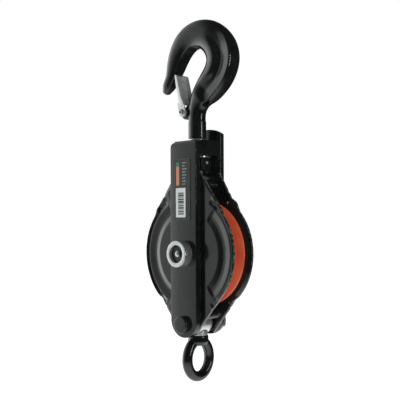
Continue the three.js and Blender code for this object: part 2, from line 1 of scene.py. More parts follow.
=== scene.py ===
# Looks of the single sheave block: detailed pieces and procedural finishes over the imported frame.
# Sizes are in millimetres with Z measured from the sheave's axle; the objects are built in metres.
import math

import bmesh
import bpy
import numpy as np
from mathutils import Matrix, Vector


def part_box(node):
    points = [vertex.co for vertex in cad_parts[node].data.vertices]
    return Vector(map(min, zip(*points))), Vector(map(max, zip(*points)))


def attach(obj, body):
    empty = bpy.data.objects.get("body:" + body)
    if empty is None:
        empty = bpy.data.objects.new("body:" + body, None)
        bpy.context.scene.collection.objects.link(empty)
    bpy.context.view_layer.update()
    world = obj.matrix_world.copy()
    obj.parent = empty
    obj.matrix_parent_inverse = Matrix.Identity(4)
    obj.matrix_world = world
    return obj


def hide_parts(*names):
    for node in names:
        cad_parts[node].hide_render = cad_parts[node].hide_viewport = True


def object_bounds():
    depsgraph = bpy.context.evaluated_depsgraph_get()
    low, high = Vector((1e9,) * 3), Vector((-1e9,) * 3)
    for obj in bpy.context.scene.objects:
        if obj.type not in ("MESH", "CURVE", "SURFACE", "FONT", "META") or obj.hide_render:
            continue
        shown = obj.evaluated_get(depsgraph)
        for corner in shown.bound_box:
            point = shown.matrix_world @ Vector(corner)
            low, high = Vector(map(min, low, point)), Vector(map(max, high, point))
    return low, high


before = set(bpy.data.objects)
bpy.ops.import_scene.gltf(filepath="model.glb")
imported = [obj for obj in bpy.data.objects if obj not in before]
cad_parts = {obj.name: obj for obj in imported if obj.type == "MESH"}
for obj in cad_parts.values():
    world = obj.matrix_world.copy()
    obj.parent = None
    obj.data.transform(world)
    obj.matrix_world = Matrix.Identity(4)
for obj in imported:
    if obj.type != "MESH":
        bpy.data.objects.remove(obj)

cad_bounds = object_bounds()
scene = bpy.context.scene

MM = 0.001
sheave_low, sheave_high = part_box("sheave")
AXLE_Z = (sheave_low.z + sheave_high.z) / 2  # height of the axle in the frame, in metres

# ---------------- dimensions

STRAP_HALF_WIDTH = 20.5
STRAP_INNER_Y = 17.3
STRAP_OUTER_Y = 24.9
STRAP_END_CENTRE_Z = -77
FRONT_STRAP_TOP = 130.5
REAR_STRAP_TOP = 141.5
REAR_STRAP_CROWN = 5.5
FRONT_STRAP_EDGE = 0.8  # rounding of a strap's long edges
REAR_STRAP_EDGE = 1.6

CHEEK_RADIUS = 70
CHEEK_OUTER_Y = 17
CHEEK_THICKNESS = 3

LATCH_PIVOT = (-15.4, 166.7)
LATCH_LEAN = 9.5
LATCH_LENGTH = 47
LATCH_HALF_WIDTH = 10.6
LATCH_SHEET = 1.5
LATCH_BACK = -5.2  # outer face of the web, from the pivot
LATCH_BEND = 2.4
RIVET_BORE = 2.75  # radius of the hole through the hook's lug

SPRING_TURNS = 2.5
SPRING_RADIUS = 4
SPRING_LEG = 14
SPRING_COIL_SHARE = 0.8  # of the points along the wire; the rest draw the leg

ROPE_GROOVE_CENTRE = 56
ROPE_GROOVE_RADIUS = 7
SPACER_RADIUS = 5
SPACER_HALF_LENGTH = 13.8

LOWER_PIN_Z = -82
SPLIT_PIN_Y = 38.6
EYE_CENTRE_Z = -124.2
EYE_HALF_WIDTH = 18.6  # of the ring's centre line
EYE_HALF_HEIGHT = 21.3
EYE_WIRE_RADIUS = 6.1

# ---------------- numbers and curves


def smooth_step(value, low, high):
    t = min(max((value - low) / (high - low), 0), 1)
    return t * t * (3 - 2 * t)


def ramp(value, low, high, soft=0.35):
    """A straight slope from 0 at low to 1 at high, with slightly eased ends."""
    t = (value - low) / (high - low)
    eased = smooth_step(t, -soft / 2, 1 + soft / 2)
    return (1 - soft) * min(max(t, 0), 1) + soft * eased


def spline(knots, values, at):
    """Natural cubic spline through values at knots, evaluated at the given places."""
    knots = np.asarray(knots, dtype=float)
    values = np.asarray(values, dtype=float)
    count = len(knots)
    gaps = np.diff(knots)
    system = np.eye(count)
    right = np.zeros_like(values)
    for i in range(1, count - 1):
        system[i, i - 1] = gaps[i - 1]
        system[i, i] = 2 * (gaps[i - 1] + gaps[i])
        system[i, i + 1] = gaps[i]
        slope = (values[i + 1] - values[i]) / gaps[i] - (values[i] - values[i - 1]) / gaps[i - 1]
        right[i] = 6 * slope
    bend = np.linalg.solve(system, right)
    index = np.clip(np.searchsorted(knots, at) - 1, 0, count - 2)
    h = gaps[index][:, None]
    a = (knots[index + 1] - at)[:, None]
    b = (at - knots[index])[:, None]
    cubic = (bend[index] * a ** 3 + bend[index + 1] * b ** 3) / (6 * h)
    first = values[index] / h - bend[index] * h / 6
    last = values[index + 1] / h - bend[index + 1] * h / 6
    return cubic + first * a + last * b


def rounded(points, radius, steps=4):
    """A closed outline with each corner rounded; radius is one number or one for each corner."""
    radii = radius if isinstance(radius, (list, tuple)) else [radius] * len(points)
    result = []
    for i, (corner, r) in enumerate(zip(points, radii)):
        here = Vector(corner)
        if r <= 0:
            result.append(tuple(here))
            continue
        back = Vector(points[i - 1]) - here
        ahead = Vector(points[(i + 1) % len(points)]) - here
        start = here + back.normalized() * min(r, back.length * 0.49)
        end = here + ahead.normalized() * min(r, ahead.length * 0.49)
        for k in range(steps + 1):
            t = k / steps
            result.append(tuple(start * (1 - t) ** 2 + here * 2 * t * (1 - t) + end * t ** 2))
    return result


def rectangle(left, right, low, high, radius, steps=4):
    return rounded([(left, low), (right, low), (right, high), (left, high)], radius, steps)


# ---------------- meshes


def linked(name, data):
    """A new object in the scene."""
    obj = bpy.data.objects.new(name, data)
    scene.collection.objects.link(obj)
    return obj


def shade_smooth(mesh, sharp=None):
    """Smooth shading; edges that turn by more than sharp degrees stay hard."""
    for polygon in mesh.polygons:
        polygon.use_smooth = True
    if sharp:
        mesh.set_sharp_from_angle(angle=math.radians(sharp))


def new_object(name, verts, faces, sharp=38, centre=(0, 0, 0)):
    """A smooth-shaded object from points in millimetres above the axle, with outward normals."""
    mesh = bpy.data.meshes.new(name)
    moved = np.asarray(verts, dtype=float) + np.asarray(centre, dtype=float)
    mesh.from_pydata((moved * MM + np.array([0, 0, AXLE_Z])).tolist(), [], faces)
    work = bmesh.new()
    work.from_mesh(mesh)
    bmesh.ops.remove_doubles(work, verts=work.verts, dist=1e-6)
    bmesh.ops.recalc_face_normals(work, faces=work.faces)
    work.to_mesh(mesh)
    work.free()
    shade_smooth(mesh, sharp)
    return linked(name, mesh)


def grid_faces(rows, columns, closed=False):
    """Faces between closed rows of points; the last row joins the first when closed."""
    faces = []
    for i in range(rows if closed else rows - 1):
        for j in range(columns):
            a = i * columns + j
            b = i * columns + (j + 1) % columns
            k = ((i + 1) % rows) * columns
            faces.append((a, b, k + (j + 1) % columns, k + j))
    return faces


def loft(name, sections, **options):
    """Joins closed sections of equal length in order, with flat ends."""
    columns = len(sections[0])
    verts = np.concatenate([np.asarray(s, dtype=float) for s in sections])
    faces = grid_faces(len(sections), columns)
    faces.append(tuple(range(columns)))
    faces.append(tuple(range(len(verts) - columns, len(verts))))
    return new_object(name, verts, faces, **options)


# The point at a radius, a place along the axis and an angle, for each axis of turning.
AXES = {"y": lambda r, a, s: (r * math.cos(s), a, r * math.sin(s)),
        "z": lambda r, a, s: (r * math.cos(s), r * math.sin(s), a)}


def turned(name, profile, axis="y", steps=96, centre=(0, 0, 0), sharp=38):
    """Solid of revolution from a closed profile of (radius, place along the axis)."""
    verts = []
    for i in range(steps):
        turn = 2 * math.pi * i / steps
        verts.extend(AXES[axis](max(r, 0), a, turn) for r, a in profile)
    return new_object(name, verts, grid_faces(steps, len(profile), closed=True), centre=centre, sharp=sharp)


def ring(name, inner, outer, low, high, edge, **options):
    return turned(name, rectangle(inner, outer, low, high, edge), **options)


def rod(name, radius, low, high, edges, corner_steps=4, **options):
    """A solid round bar; edges are the rounding of its low and its high end."""
    return turned(name, rectangle(0, radius, low, high, [0, *edges, 0], corner_steps), **options)


def soften(obj, width, segments=3, angle=35):
    bevel = obj.modifiers.new("edges", "BEVEL")
    bevel.width = width * MM
    bevel.segments = segments
    bevel.limit_method = "ANGLE"
    bevel.angle_limit = math.radians(angle)
    bevel.harden_normals = True


def plate(name, outline, low, high, edge):
    """An outline in X and Z, given thickness along Y, with rounded edges."""
    count = len(outline)
    verts = [(x, low, z) for x, z in outline] + [(x, high, z) for x, z in outline]
    faces = [tuple(range(count)), tuple(range(count, 2 * count))]
    faces += [(i, (i + 1) % count, count + (i + 1) % count, count + i) for i in range(count)]
    obj = new_object(name, verts, faces)
    if edge:
        soften(obj, edge)
    return obj


# How far each ring of a wire's domed end lies past the end, and its radius, in wire radii.
DOME = [(0.4, 0.88), (0.8, 0.5)]


def tube(name, path, radius, around=14):
    """A round wire along a list of points, with domed ends."""
    points = [Vector(p) for p in path]
    sections = []
    side = None
    for i, point in enumerate(points):
        along = (points[min(i + 1, len(points) - 1)] - points[max(i - 1, 0)]).normalized()
        if side is None:
            side = along.orthogonal().normalized()
        side = (side - along * side.dot(along)).normalized()
        other = along.cross(side)
        circle = [side * math.cos(2 * math.pi * k / around) + other * math.sin(2 * math.pi * k / around)
                  for k in range(around)]
        ends = [(-shift, scale) for shift, scale in reversed(DOME)] if i == 0 else []
        ends += [(0, 1)] + (DOME if i == len(points) - 1 else [])
        sections += [[tuple(point + along * (radius * shift) + c * (radius * scale)) for c in circle]
                     for shift, scale in ends]
    return loft(name, sections)


def applied(obj):
    """Turns the modifiers into the object's own mesh."""
    graph = bpy.context.evaluated_depsgraph_get()
    mesh = bpy.data.meshes.new_from_object(obj.evaluated_get(graph))
    obj.modifiers.clear()
    obj.data = mesh
    return obj


def merged(name, parts):
    """One object holding the meshes of several, which are removed."""
    work = bmesh.new()
    for part in parts:
        applied(part)
        work.from_mesh(part.data)
    mesh = bpy.data.meshes.new(name)
    work.to_mesh(mesh)
    work.free()
    for part in parts:
        bpy.data.objects.remove(part)
    shade_smooth(mesh)
    return linked(name, mesh)


def forged(name, parts, voxel, rounds):
    """Fuses overlapping closed pieces into one skin, as a forging."""
    obj = merged(name, parts)
    remesh = obj.modifiers.new("skin", "REMESH")
    remesh.mode = "VOXEL"
    remesh.voxel_size = voxel * MM
    remesh.use_smooth_shade = True
    relax = obj.modifiers.new("relax", "SMOOTH")
    relax.factor = 0.5
    relax.iterations = rounds
    return applied(obj)


def bored(obj, centre, radius, reach):
    """Cuts a round hole along Y through an object."""
    outline = [(0, -reach), (radius, -reach), (radius, reach), (0, reach)]
    cutter = turned("cutter", outline, steps=40, centre=centre)
    cut = obj.modifiers.new("bore", "BOOLEAN")
    cut.operation = "DIFFERENCE"
    cut.solver = "EXACT"
    cut.object = cutter
    applied(obj)
    bpy.data.objects.remove(cutter)
    shade_smooth(obj.data, 45)
    return obj


# ---------------- nodes


def new_node(tree, kind, operation=None):
    node = tree.nodes.new("ShaderNode" + kind)
    if operation:
        node.operation = operation
    return node


def mixed(tree, fac, first, second):
    """A mix of two colours, each a socket or a plain colour."""
    node = new_node(tree, "Mix")
    node.data_type = "RGBA"
    tree.links.new(fac, node.inputs["Factor"])
    for socket, value in ((node.inputs["A"], first), (node.inputs["B"], second)):
        if isinstance(value, bpy.types.NodeSocket):
            tree.links.new(value, socket)
        else:
            socket.default_value = (*value, 1)
    return node.outputs["Result"]


def noise(tree, scale, detail, stretch=(1, 1, 1)):
    place = new_node(tree, "TexCoord")
    mapping = new_node(tree, "Mapping")
    mapping.inputs["Scale"].default_value = stretch
    texture = new_node(tree, "TexNoise")
    texture.inputs["Scale"].default_value = scale
    texture.inputs["Detail"].default_value = detail
    tree.links.new(place.outputs["Object"], mapping.inputs["Vector"])
    tree.links.new(mapping.outputs["Vector"], texture.inputs["Vector"])
    return texture.outputs["Fac"]


def spread(tree, value, low, high, out_low=0.0, out_high=1.0):
    """Maps low to out_low and high to out_high, smoothly."""
    node = new_node(tree, "MapRange")
    node.interpolation_type = "SMOOTHSTEP"
    tree.links.new(value, node.inputs["Value"])
    for socket, number in zip(("From Min", "From Max", "To Min", "To Max"), (low, high, out_low, out_high)):
        node.inputs[socket].default_value = number
    return node.outputs["Result"]


def bumped(tree, layers):
    """Chained bumps from (height, strength, distance in millimetres)."""
    normal = None
    for height, strength, distance in layers:
        node = new_node(tree, "Bump")
        node.inputs["Strength"].default_value = strength
        node.inputs["Distance"].default_value = distance * MM
        tree.links.new(height, node.inputs["Height"])
        if normal:
            tree.links.new(normal, node.inputs["Normal"])
        normal = node.outputs["Normal"]
    return normal


# ---------------- finishes

# Noise scales are per metre; a band is the range of a noise over which its effect comes in.
COLOUR_BAND = (0.32, 0.68)
ROUGHNESS_BAND = (0.3, 0.7)
ROUGHNESS_FINER = 6  # how much finer the roughness drifts than the colour
SCRATCH_BAND = (0.42, 0.62)
SCRATCH_DEPTH = 0.05
DUST_SCALE = 420
DUST_BAND = (0.60, 0.72)
WEAR_AND_HIGHLIGHT_SCALE = 260
WEAR_AND_HIGHLIGHT_BAND = (0.35, 0.7)
WEAR_AND_HIGHLIGHT_POINTINESS = (0.53, 0.60)  # from where edges start to lighten, as wear and as a painted highlight, to where they are fully lightened


def surface(name, dark, light, rough, metallic=0.0, blotch=35,
            peel=None, scratch=None, dust=None, wear_and_highlight=None):
    """A finish that drifts between two colours and two roughnesses, with fine relief.

    peel is scale, strength and depth; scratch is scale, stretch, strength and colour; dust and
    wear_and_highlight are amount and colour. The latter lightens edges, as paint worn through and as a
    painted highlight along them.
    """
    material = bpy.data.materials.new(name)
    material.use_nodes = True
    tree = material.node_tree
    link = tree.links.new
    shader = tree.nodes["Principled BSDF"]
    colour = mixed(tree, spread(tree, noise(tree, blotch, 5), *COLOUR_BAND), dark, light)
    uneven = spread(tree, noise(tree, blotch * ROUGHNESS_FINER, 4), *ROUGHNESS_BAND, *rough)
    layers = []
    if peel:
        scale, strength, depth = peel
        layers.append((noise(tree, scale, 2), strength, depth))
    if scratch:
        scale, stretch, strength, tint = scratch
        lines = noise(tree, scale, 6, stretch)
        layers.append((lines, strength, SCRATCH_DEPTH))
        colour = mixed(tree, spread(tree, lines, *SCRATCH_BAND), colour, tint)
    if dust:
        amount, tint = dust
        colour = mixed(tree, spread(tree, noise(tree, DUST_SCALE, 6), *DUST_BAND, 0, amount), colour, tint)
    # Edges lightened by pointiness: paint worn to grey, and also a painted highlight that stands in for
    # their lit bevels.
    if wear_and_highlight:
        amount, tint = wear_and_highlight
        shape = new_node(tree, "NewGeometry")
        broken = spread(tree, noise(tree, WEAR_AND_HIGHLIGHT_SCALE, 4), *WEAR_AND_HIGHLIGHT_BAND)
        edge = new_node(tree, "Math", "MULTIPLY")
        worn_and_lit = spread(tree, shape.outputs["Pointiness"], *WEAR_AND_HIGHLIGHT_POINTINESS, 0, amount)
        link(worn_and_lit, edge.inputs[0])
        link(broken, edge.inputs[1])
        colour = mixed(tree, edge.outputs["Value"], colour, tint)
    link(colour, shader.inputs["Base Color"])
    link(uneven, shader.inputs["Roughness"])
    link(bumped(tree, layers), shader.inputs["Normal"])
    shader.inputs["Metallic"].default_value = metallic
    return material


# Lighter grey for dust, and for edges lightened both as wear and as a painted highlight.
PAINT_GREY = (0.12, 0.13, 0.125)
BLACK = ((0.0035, 0.0042, 0.0038), (0.0065, 0.0075, 0.0070))
PAINT_PEEL = (300, 0.03, 0.06)
FILM_PEEL = (900, 0.03, 0.03)
# The lighter edges of the black, hook and orange paints are both wear and a painted edge highlight.
FINISHES = {
    "black_paint": (*BLACK, (0.10, 0.17),
                    dict(peel=PAINT_PEEL, dust=(0.10, PAINT_GREY), wear_and_highlight=(0.6, PAINT_GREY))),
    "plain_paint": (*BLACK, (0.12, 0.20), dict(peel=PAINT_PEEL, dust=(0.06, PAINT_GREY))),
    "hook_paint": ((0.0035, 0.0042, 0.0038), (0.0070, 0.0080, 0.0075), (0.12, 0.20),
                   dict(peel=(200, 0.05, 0.10), dust=(0.10, PAINT_GREY), wear_and_highlight=(0.35, PAINT_GREY))),
    "eye_paint": ((0.0025, 0.0030, 0.0032), (0.0050, 0.0055, 0.0058), (0.07, 0.13),
                  dict(peel=(220, 0.10, 0.12), dust=(0.06, PAINT_GREY))),
    "orange_paint": ((0.340, 0.050, 0.022), (0.420, 0.074, 0.032), (0.16, 0.26),
                     dict(peel=(300, 0.04, 0.06), dust=(0.25, (0.45, 0.16, 0.10)),
                          wear_and_highlight=(0.6, (0.55, 0.22, 0.14)))),
    "zinc": ((0.46, 0.48, 0.48), (0.62, 0.64, 0.63), (0.24, 0.36),
             dict(metallic=0.9, blotch=60, scratch=(300, (1, 6, 1), 0.015, (0.50, 0.51, 0.50)))),
    "latch_steel": ((0.52, 0.54, 0.54), (0.66, 0.68, 0.67), (0.26, 0.38),
                    dict(metallic=0.7, blotch=70, scratch=(120, (3, 3, 0.3), 0.02, (0.56, 0.57, 0.57)))),
    "dark_steel": ((0.030, 0.033, 0.034), (0.060, 0.064, 0.066), (0.30, 0.48),
                   dict(metallic=1.0, scratch=(350, (1, 5, 1), 0.12, (0.05, 0.05, 0.055)))),
    "bronze": ((0.36, 0.20, 0.075), (0.50, 0.30, 0.12), (0.30, 0.48),
               dict(metallic=1.0, scratch=(320, (1, 6, 1), 0.1, (0.42, 0.26, 0.12)))),
    "label_dark": ((0.006, 0.007, 0.0065), (0.010, 0.011, 0.0105), (0.18, 0.26),
                   dict(peel=FILM_PEEL, dust=(0.12, PAINT_GREY))),
    "label_line": ((0.040, 0.045, 0.042), (0.055, 0.060, 0.057), (0.25, 0.35), dict(peel=FILM_PEEL)),
    "label_orange": ((0.50, 0.175, 0.095), (0.56, 0.200, 0.110), (0.30, 0.42),
                     dict(peel=FILM_PEEL, dust=(0.2, (0.4, 0.25, 0.2)))),
    "label_teal": ((0.006, 0.150, 0.100), (0.010, 0.175, 0.120), (0.30, 0.42), dict(peel=FILM_PEEL)),
    "label_white": ((0.56, 0.59, 0.58), (0.62, 0.65, 0.64), (0.36, 0.48),
                    dict(peel=FILM_PEEL, dust=(0.25, (0.25, 0.25, 0.24)))),
    "label_grey": ((0.020, 0.022, 0.021), (0.035, 0.037, 0.036), (0.36, 0.48), dict(peel=FILM_PEEL)),
    "label_print": ((0.20, 0.21, 0.20), (0.27, 0.28, 0.27), (0.36, 0.48), dict(peel=FILM_PEEL)),
}
MATERIALS = {name: surface(name, *looks, **options) for name, (*looks, options) in FINISHES.items()}


def settle(obj, body, material, slot, *nodes):
    """Finishes a piece: its material, its body, and the CAD nodes that it stands for."""
    obj.data.materials.clear()
    obj.data.materials.append(MATERIALS[material])
    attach(obj, body)
    if nodes:
        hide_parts(*nodes)


def dress(node, material, edge):
    """Keeps a CAD node, with a finish and softened edges."""
    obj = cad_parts[node]
    for place in obj.material_slots:
        place.material = MATERIALS[material]
    soften(obj, edge, segments=2, angle=40)


# ---------------- hook

# Centre in X and Z, half depth in the hook's plane, half width in Y, and squareness of the section.
HOOK_STATIONS = [
    (0, 153, 10.2, 10.2, 2.0), (0.5, 166, 10.4, 10.2, 2.0), (5, 178, 13.2, 11, 2.1),
    (15.7, 189.5, 17.2, 12.3, 2.25), (31, 203.5, 19.6, 13.2, 2.3), (39.7, 222, 20.4, 13.6, 2.35),
    (32, 242.5, 19.6, 13.8, 2.2), (10, 255.66, 17.5, 13.8, 2.1), (-13, 252.5, 15.8, 13.4, 2.1),
    (-28, 237, 13.4, 12.5, 2.1), (-35.6, 221, 10.6, 11, 2.1), (-41.6, 209, 8.3, 9, 2.1),
    (-48.2, 200.2, 7.2, 7.4, 2.0), (-51.2, 195.8, 5.2, 5.2, 2.0),
]
HOOK_ROWS = 190
HOOK_AROUND = 136
# Steps past the last station, and the size of the section there.
HOOK_TIP = ((1.4, 0.88), (2.4, 0.62), (2.9, 0.25))

# Shares of the hook's length, from the shank to the tip.
POCKET_STARTS = (0.135, 0.20)  # the pocket starts low on the back
POCKET_ENDS = (0.40, 0.54)  # and dies out over the crown
WALL_FORMS = (0.15, 0.30)  # where the pocket's inner wall grows clear
INSIDE_FLATTENS = (0.50, 0.62)

# Shares of the half depth, from -1 on the inside of the curve to 1 on its back.
POCKET_RIM = 0.92
POCKET_WALL = (-0.20, 0.22)
WALL_SHIFT = 0.9  # how far inwards the wall starts where it hasn't formed
INSIDE_CUT = 0.20

POCKET_SLOPE = 0.20
POCKET_DEPTH = 6.2
POCKET_SQUARENESS = 1.6  # added to the back half of the section
POCKET_NARROWING = 0.05


def hook_section(station, along, share):
    """One section of the hook, as points in X, Y and Z."""
    x, z, depth, width, square = station
    ax, az = along
    pocket = smooth_step(share, *POCKET_STARTS) * (1 - smooth_step(share, *POCKET_ENDS))
    wall_start = POCKET_WALL[0] - WALL_SHIFT * (1 - smooth_step(share, *WALL_FORMS))
    inside = INSIDE_CUT * smooth_step(share, *INSIDE_FLATTENS) - 1
    half = HOOK_AROUND // 2
    section = []
    for j in range(HOOK_AROUND):
        side = 1 if j < half else -1
        u = math.cos(math.pi * (j % half) / half) * side
        power = square + (POCKET_SQUARENESS * pocket if u > 0 else 0)
        v = (1 - abs(u) ** power) ** (1 / power) * side
        across = depth * max(u, inside)
        if u > 0:
            across *= 1 - POCKET_NARROWING * pocket
        reach = abs(width * v)
        if u < POCKET_RIM:
            # The pocket's floor is a plane that slopes inwards from the rim.
            lip = width * (1 - POCKET_RIM ** power) ** (1 / power)
            plane = lip - POCKET_SLOPE * depth * (POCKET_RIM - u)
            sunk = min(max(reach - plane, 0), POCKET_DEPTH) * pocket
            reach = max(reach - sunk * smooth_step(u, wall_start, POCKET_WALL[1]), 0)
        section.append((x + across * az, math.copysign(reach, v), z - across * ax))
    return section


def hook_body():
    table = np.array(HOOK_STATIONS, dtype=float)
    steps = np.hypot(*np.diff(table[:, :2], axis=0).T)
    knots = np.concatenate([[0], np.cumsum(steps)])
    at = np.linspace(0, knots[-1], HOOK_ROWS)
    rows = spline(knots, table, at)
    along = np.gradient(rows[:, :2], axis=0)
    along /= np.linalg.norm(along, axis=1)[:, None]
    sections = [hook_section(*row) for row in zip(rows, along, at / knots[-1])]
    tip_x, tip_z = rows[-1][:2]
    ax, az = along[-1]
    last = sections[-1]
    for forward, scale in HOOK_TIP:
        sections.append([(tip_x + ax * forward + (x - tip_x) * scale, y * scale,
                          tip_z + az * forward + (z - tip_z) * scale) for x, y, z in last])
    return loft("hook_body", sections)


def hook():
    px, pz = LATCH_PIVOT
    lobe = [(px + 6.6 * math.cos(a), pz - 1 + 7.2 * math.sin(a)) for a in np.linspace(1.75, 4.45, 18)]
    lug = [(-2, 178.5), (-9, 177)] + lobe + [(-8, 157.2), (-2, 157.2)]
    parts = [
        hook_body(),
        rod("collar", 10.6, 134.4, 155.4, (0.9, 1.6), axis="z"),
        turned("neck", [(0, 150), (9.9, 150), (9.8, 158), (9.9, 166), (0, 166)], axis="z"),
        plate("lug", lug, -4.5, 4.5, 1.2),
    ]
    forging = bored(forged("hook_forging", parts, 0.62, 5), (px, 0, pz), RIVET_BORE, 6)
    settle(forging, "hook", "hook_paint", "black_paint", "hook")
    shank = rod("hook_shank", 9.6, 91.7, 134.9, (1.2, 0), axis="z")
    settle(shank, "hook", "dark_steel", "black_paint")


NUT_STEPS = 144
NUT_CHAMFER_SLOPE = 1.75  # radius gained for each millimetre of depth
NUT_CORNER_BLUNT = 0.35
NUT_FACE_SHARE = 0.80
NUT_COUNTERSINK = (0.9, 1.0)  # extra radius and depth


def hexagonal(name, corner, low, high, bore, axis="z", centre=(0, 0, 0)):
    """A hexagon nut with turned chamfers on both faces and a countersunk bore."""
    across = corner * math.cos(math.pi / 6)
    wider, deep = NUT_COUNTERSINK
    levels = [0, 0.3, 0.8, 1.5, (high - low) / 2]
    heights = [low + d for d in levels] + [high - d for d in reversed(levels[:-1])]
    inner = [(bore, low + deep), (bore + wider, low + 0.05), (across * NUT_FACE_SHARE, low)]
    top = [(across * NUT_FACE_SHARE, high), (bore + wider, high - 0.05), (bore, high - deep)]
    verts = []
    for i in range(NUT_STEPS):
        angle = 2 * math.pi * i / NUT_STEPS
        offset = (angle + math.pi / 6) % (math.pi / 3) - math.pi / 6
        flat = min(across / math.cos(offset), corner - NUT_CORNER_BLUNT)
        outer = []
        for height in heights:
            depth = min(height - low, high - height)
            outer.append((min(flat, across - NUT_CORNER_BLUNT + depth * NUT_CHAMFER_SLOPE), height))
        verts.extend(AXES[axis](r, a, angle) for r, a in inner + outer + top)
    faces = grid_faces(NUT_STEPS, len(verts) // NUT_STEPS, closed=True)
    return new_object(name, verts, faces, centre=centre, sharp=24)


def swivel():
    nut = hexagonal("swivel_hex_nut", 16.2, 96.7, 111.7, 9.9)
    settle(nut, "hook", "dark_steel", "dark_steel", "swivel_nut")
    pin = rod("swivel_lock_pin", 2, -16, 16, (0.6, 0.6), 3, axis="z", steps=40)
    lying = Matrix.Translation((0, 0, AXLE_Z + 105.7 * MM)) @ Matrix.Rotation(math.pi / 2, 4, "Y")
    pin.data.transform(lying @ Matrix.Translation((0, 0, -AXLE_Z)))
    settle(pin, "hook", "zinc", "zinc", "swivel_cross_pin")
    low = ring("lower_race", 9.9, 15.5, 112.0, 113.5, 0.35, axis="z")
    settle(low, "hook", "zinc", "zinc", "lower_thrust_washer")
    high = ring("upper_race", 9.9, 10.6, 131.8, 134.1, 0.2, axis="z")
    settle(high, "hook", "zinc", "zinc", "upper_thrust_washer")


# ---------------- latch

# Height over the pivot, and how far the flanges reach forward there.
LATCH_FRONTS = [(7, 5.0), (10, 3.9), (14.9, 2.2), (19, 1.2), (24, 0.6), (32, 0.0), (41.5, -0.9),
                (45.4, -1.5), (46.5, -2.2), (47, -3.0)]
EAR_TUCK = 0.05  # keeps the ears' faces inside the flanges'


def latch_place(obj):
    """Moves a piece drawn upright about the latch pivot to its place on the lug."""
    px, pz = LATCH_PIVOT
    pivot = Vector((px * MM, 0, AXLE_Z + pz * MM))
    lean = Matrix.Rotation(math.radians(-LATCH_LEAN), 4, "Y")
    obj.data.transform(Matrix.Translation(pivot) @ lean @ Matrix.Translation((0, 0, -AXLE_Z)))
    return obj


def latch_section(front, back):
    """Channel section: two flanges reaching from the web at the back to the front."""
    outside = -LATCH_HALF_WIDTH
    inside = LATCH_SHEET - LATCH_HALF_WIDTH
    tight = LATCH_BEND - LATCH_SHEET
    outer = [(front, outside)]
    inner = [(front, inside)]
    for k in range(7):
        a = math.pi / 2 * k / 6
        turn_x = 1 - math.sin(a)
        turn_y = 1 - math.cos(a)
        outer.append((back + LATCH_BEND * turn_x, outside + LATCH_BEND * turn_y))
        inner.append((back + LATCH_SHEET + tight * turn_x, inside + tight * turn_y))
    outer += [(x, -y) for x, y in reversed(outer)]
    inner += [(x, -y) for x, y in reversed(inner)]
    return outer + inner[::-1]


def latch_channel():
    """The bent sheet above the ears; its top edge dips between the flanges."""
    table = np.array(LATCH_FRONTS, dtype=float)
    at = np.concatenate([np.linspace(11, 42, 24), np.linspace(42.6, 46.9, 12)])
    sections = []
    for z, front in zip(at, spline(table[:, 0], table[:, 1:], at)[:, 0]):
        lift = 0.5 * smooth_step(z, 45, LATCH_LENGTH)
        dip = 1.6 * smooth_step(z, 40, 46.9)
        rows = latch_section(max(front, LATCH_BACK + LATCH_BEND), LATCH_BACK + lift)
        sections.append([(x, y, z - dip * (1 - (y / LATCH_HALF_WIDTH) ** 2)) for x, y in rows])
    channel = loft("latch_channel", sections)
    soften(channel, 0.22, angle=50)
    return channel


def latch():
    eye = [(5.6 * math.cos(a), 5.6 * math.sin(a)) for a in np.linspace(math.pi * 1.14, math.pi * 2.12, 22)]
    back = LATCH_BACK + 0.05
    ear = [(back, 13), (back, 2)] + eye + [(5.4, 3.2), (5.3, 6), (4.6, 8.4), (3.4, 11), (2.6, 13)]
    parts = [latch_channel()]
    for side in (-1, 1):
        y = side * (LATCH_HALF_WIDTH - LATCH_SHEET / 2)
        half = LATCH_SHEET / 2 - EAR_TUCK
        parts.append(plate("latch_ear", ear, y - half, y + half, 0.2))
    sheet = latch_place(merged("latch_sheet", parts))
    settle(sheet, "latch", "latch_steel", "latch_steel", "latch")

    head = [(3.1, 13.0), (3.5, 12.5), (3.5, 12.0), (3.1, 11.85), (3.1, 10.95), (2.5, 10.95)]
    hollow = [(0, 11.0), (1.2, 11.0), (1.3, 12.6), (1.7, 13.2), (2.6, 13.3)]
    dished = [(r, -y) for r, y in hollow + head] + [(r, y) for r, y in reversed(hollow + head)]
    px, pz = LATCH_PIVOT
    rivet = turned("latch_rivet", dished, steps=48, centre=(px, 0, pz))
    settle(rivet, "latch", "zinc", "dark_steel", "latch_pin")

    wire = []
    for t in np.linspace(0, 1, 90):
        turns = min(t / SPRING_COIL_SHARE, 1) * SPRING_TURNS
        angle = turns * 2 * math.pi
        leg = max(0, (t - SPRING_COIL_SHARE) / (1 - SPRING_COIL_SHARE)) * SPRING_LEG
        slant = 0.18 * leg - 0.5 * smooth_step(leg, 0, SPRING_LEG)
        wire.append((SPRING_RADIUS * math.cos(angle) + slant, -5.4 - 1.1 * turns,
                     leg - SPRING_RADIUS * math.sin(angle)))
    spring = latch_place(tube("latch_spring_wire", wire, 0.5, 12))
    settle(spring, "latch", "zinc", "latch_steel", "latch_spring")


# ---------------- straps

STRAP_TOP_LEVELS = 9  # height below the top in which the levels lie close together


def slab_section(z, half, back, front, run, edge):
    """Rounded rectangle across a strap: run and edge are the corner's size in X and in Y."""
    run = min(run, half * 0.98)
    edge = min(edge, abs(front - back) * 0.49)
    toward = math.copysign(1, front - back)
    points = []
    corners = [(1, front, -1), (-1, front, -1), (-1, back, 1), (1, back, 1)]
    for index, (side, y, inward) in enumerate(corners):
        for k in range(6):
            a = math.pi / 2 * k / 5
            if index % 2 == 0:
                px = half - run + run * math.cos(a)
                py = edge - edge * math.sin(a)
            else:
                px = half - run + run * math.sin(a)
                py = edge - edge * math.cos(a)
            points.append((side * px, y + inward * toward * py, z))
    return points


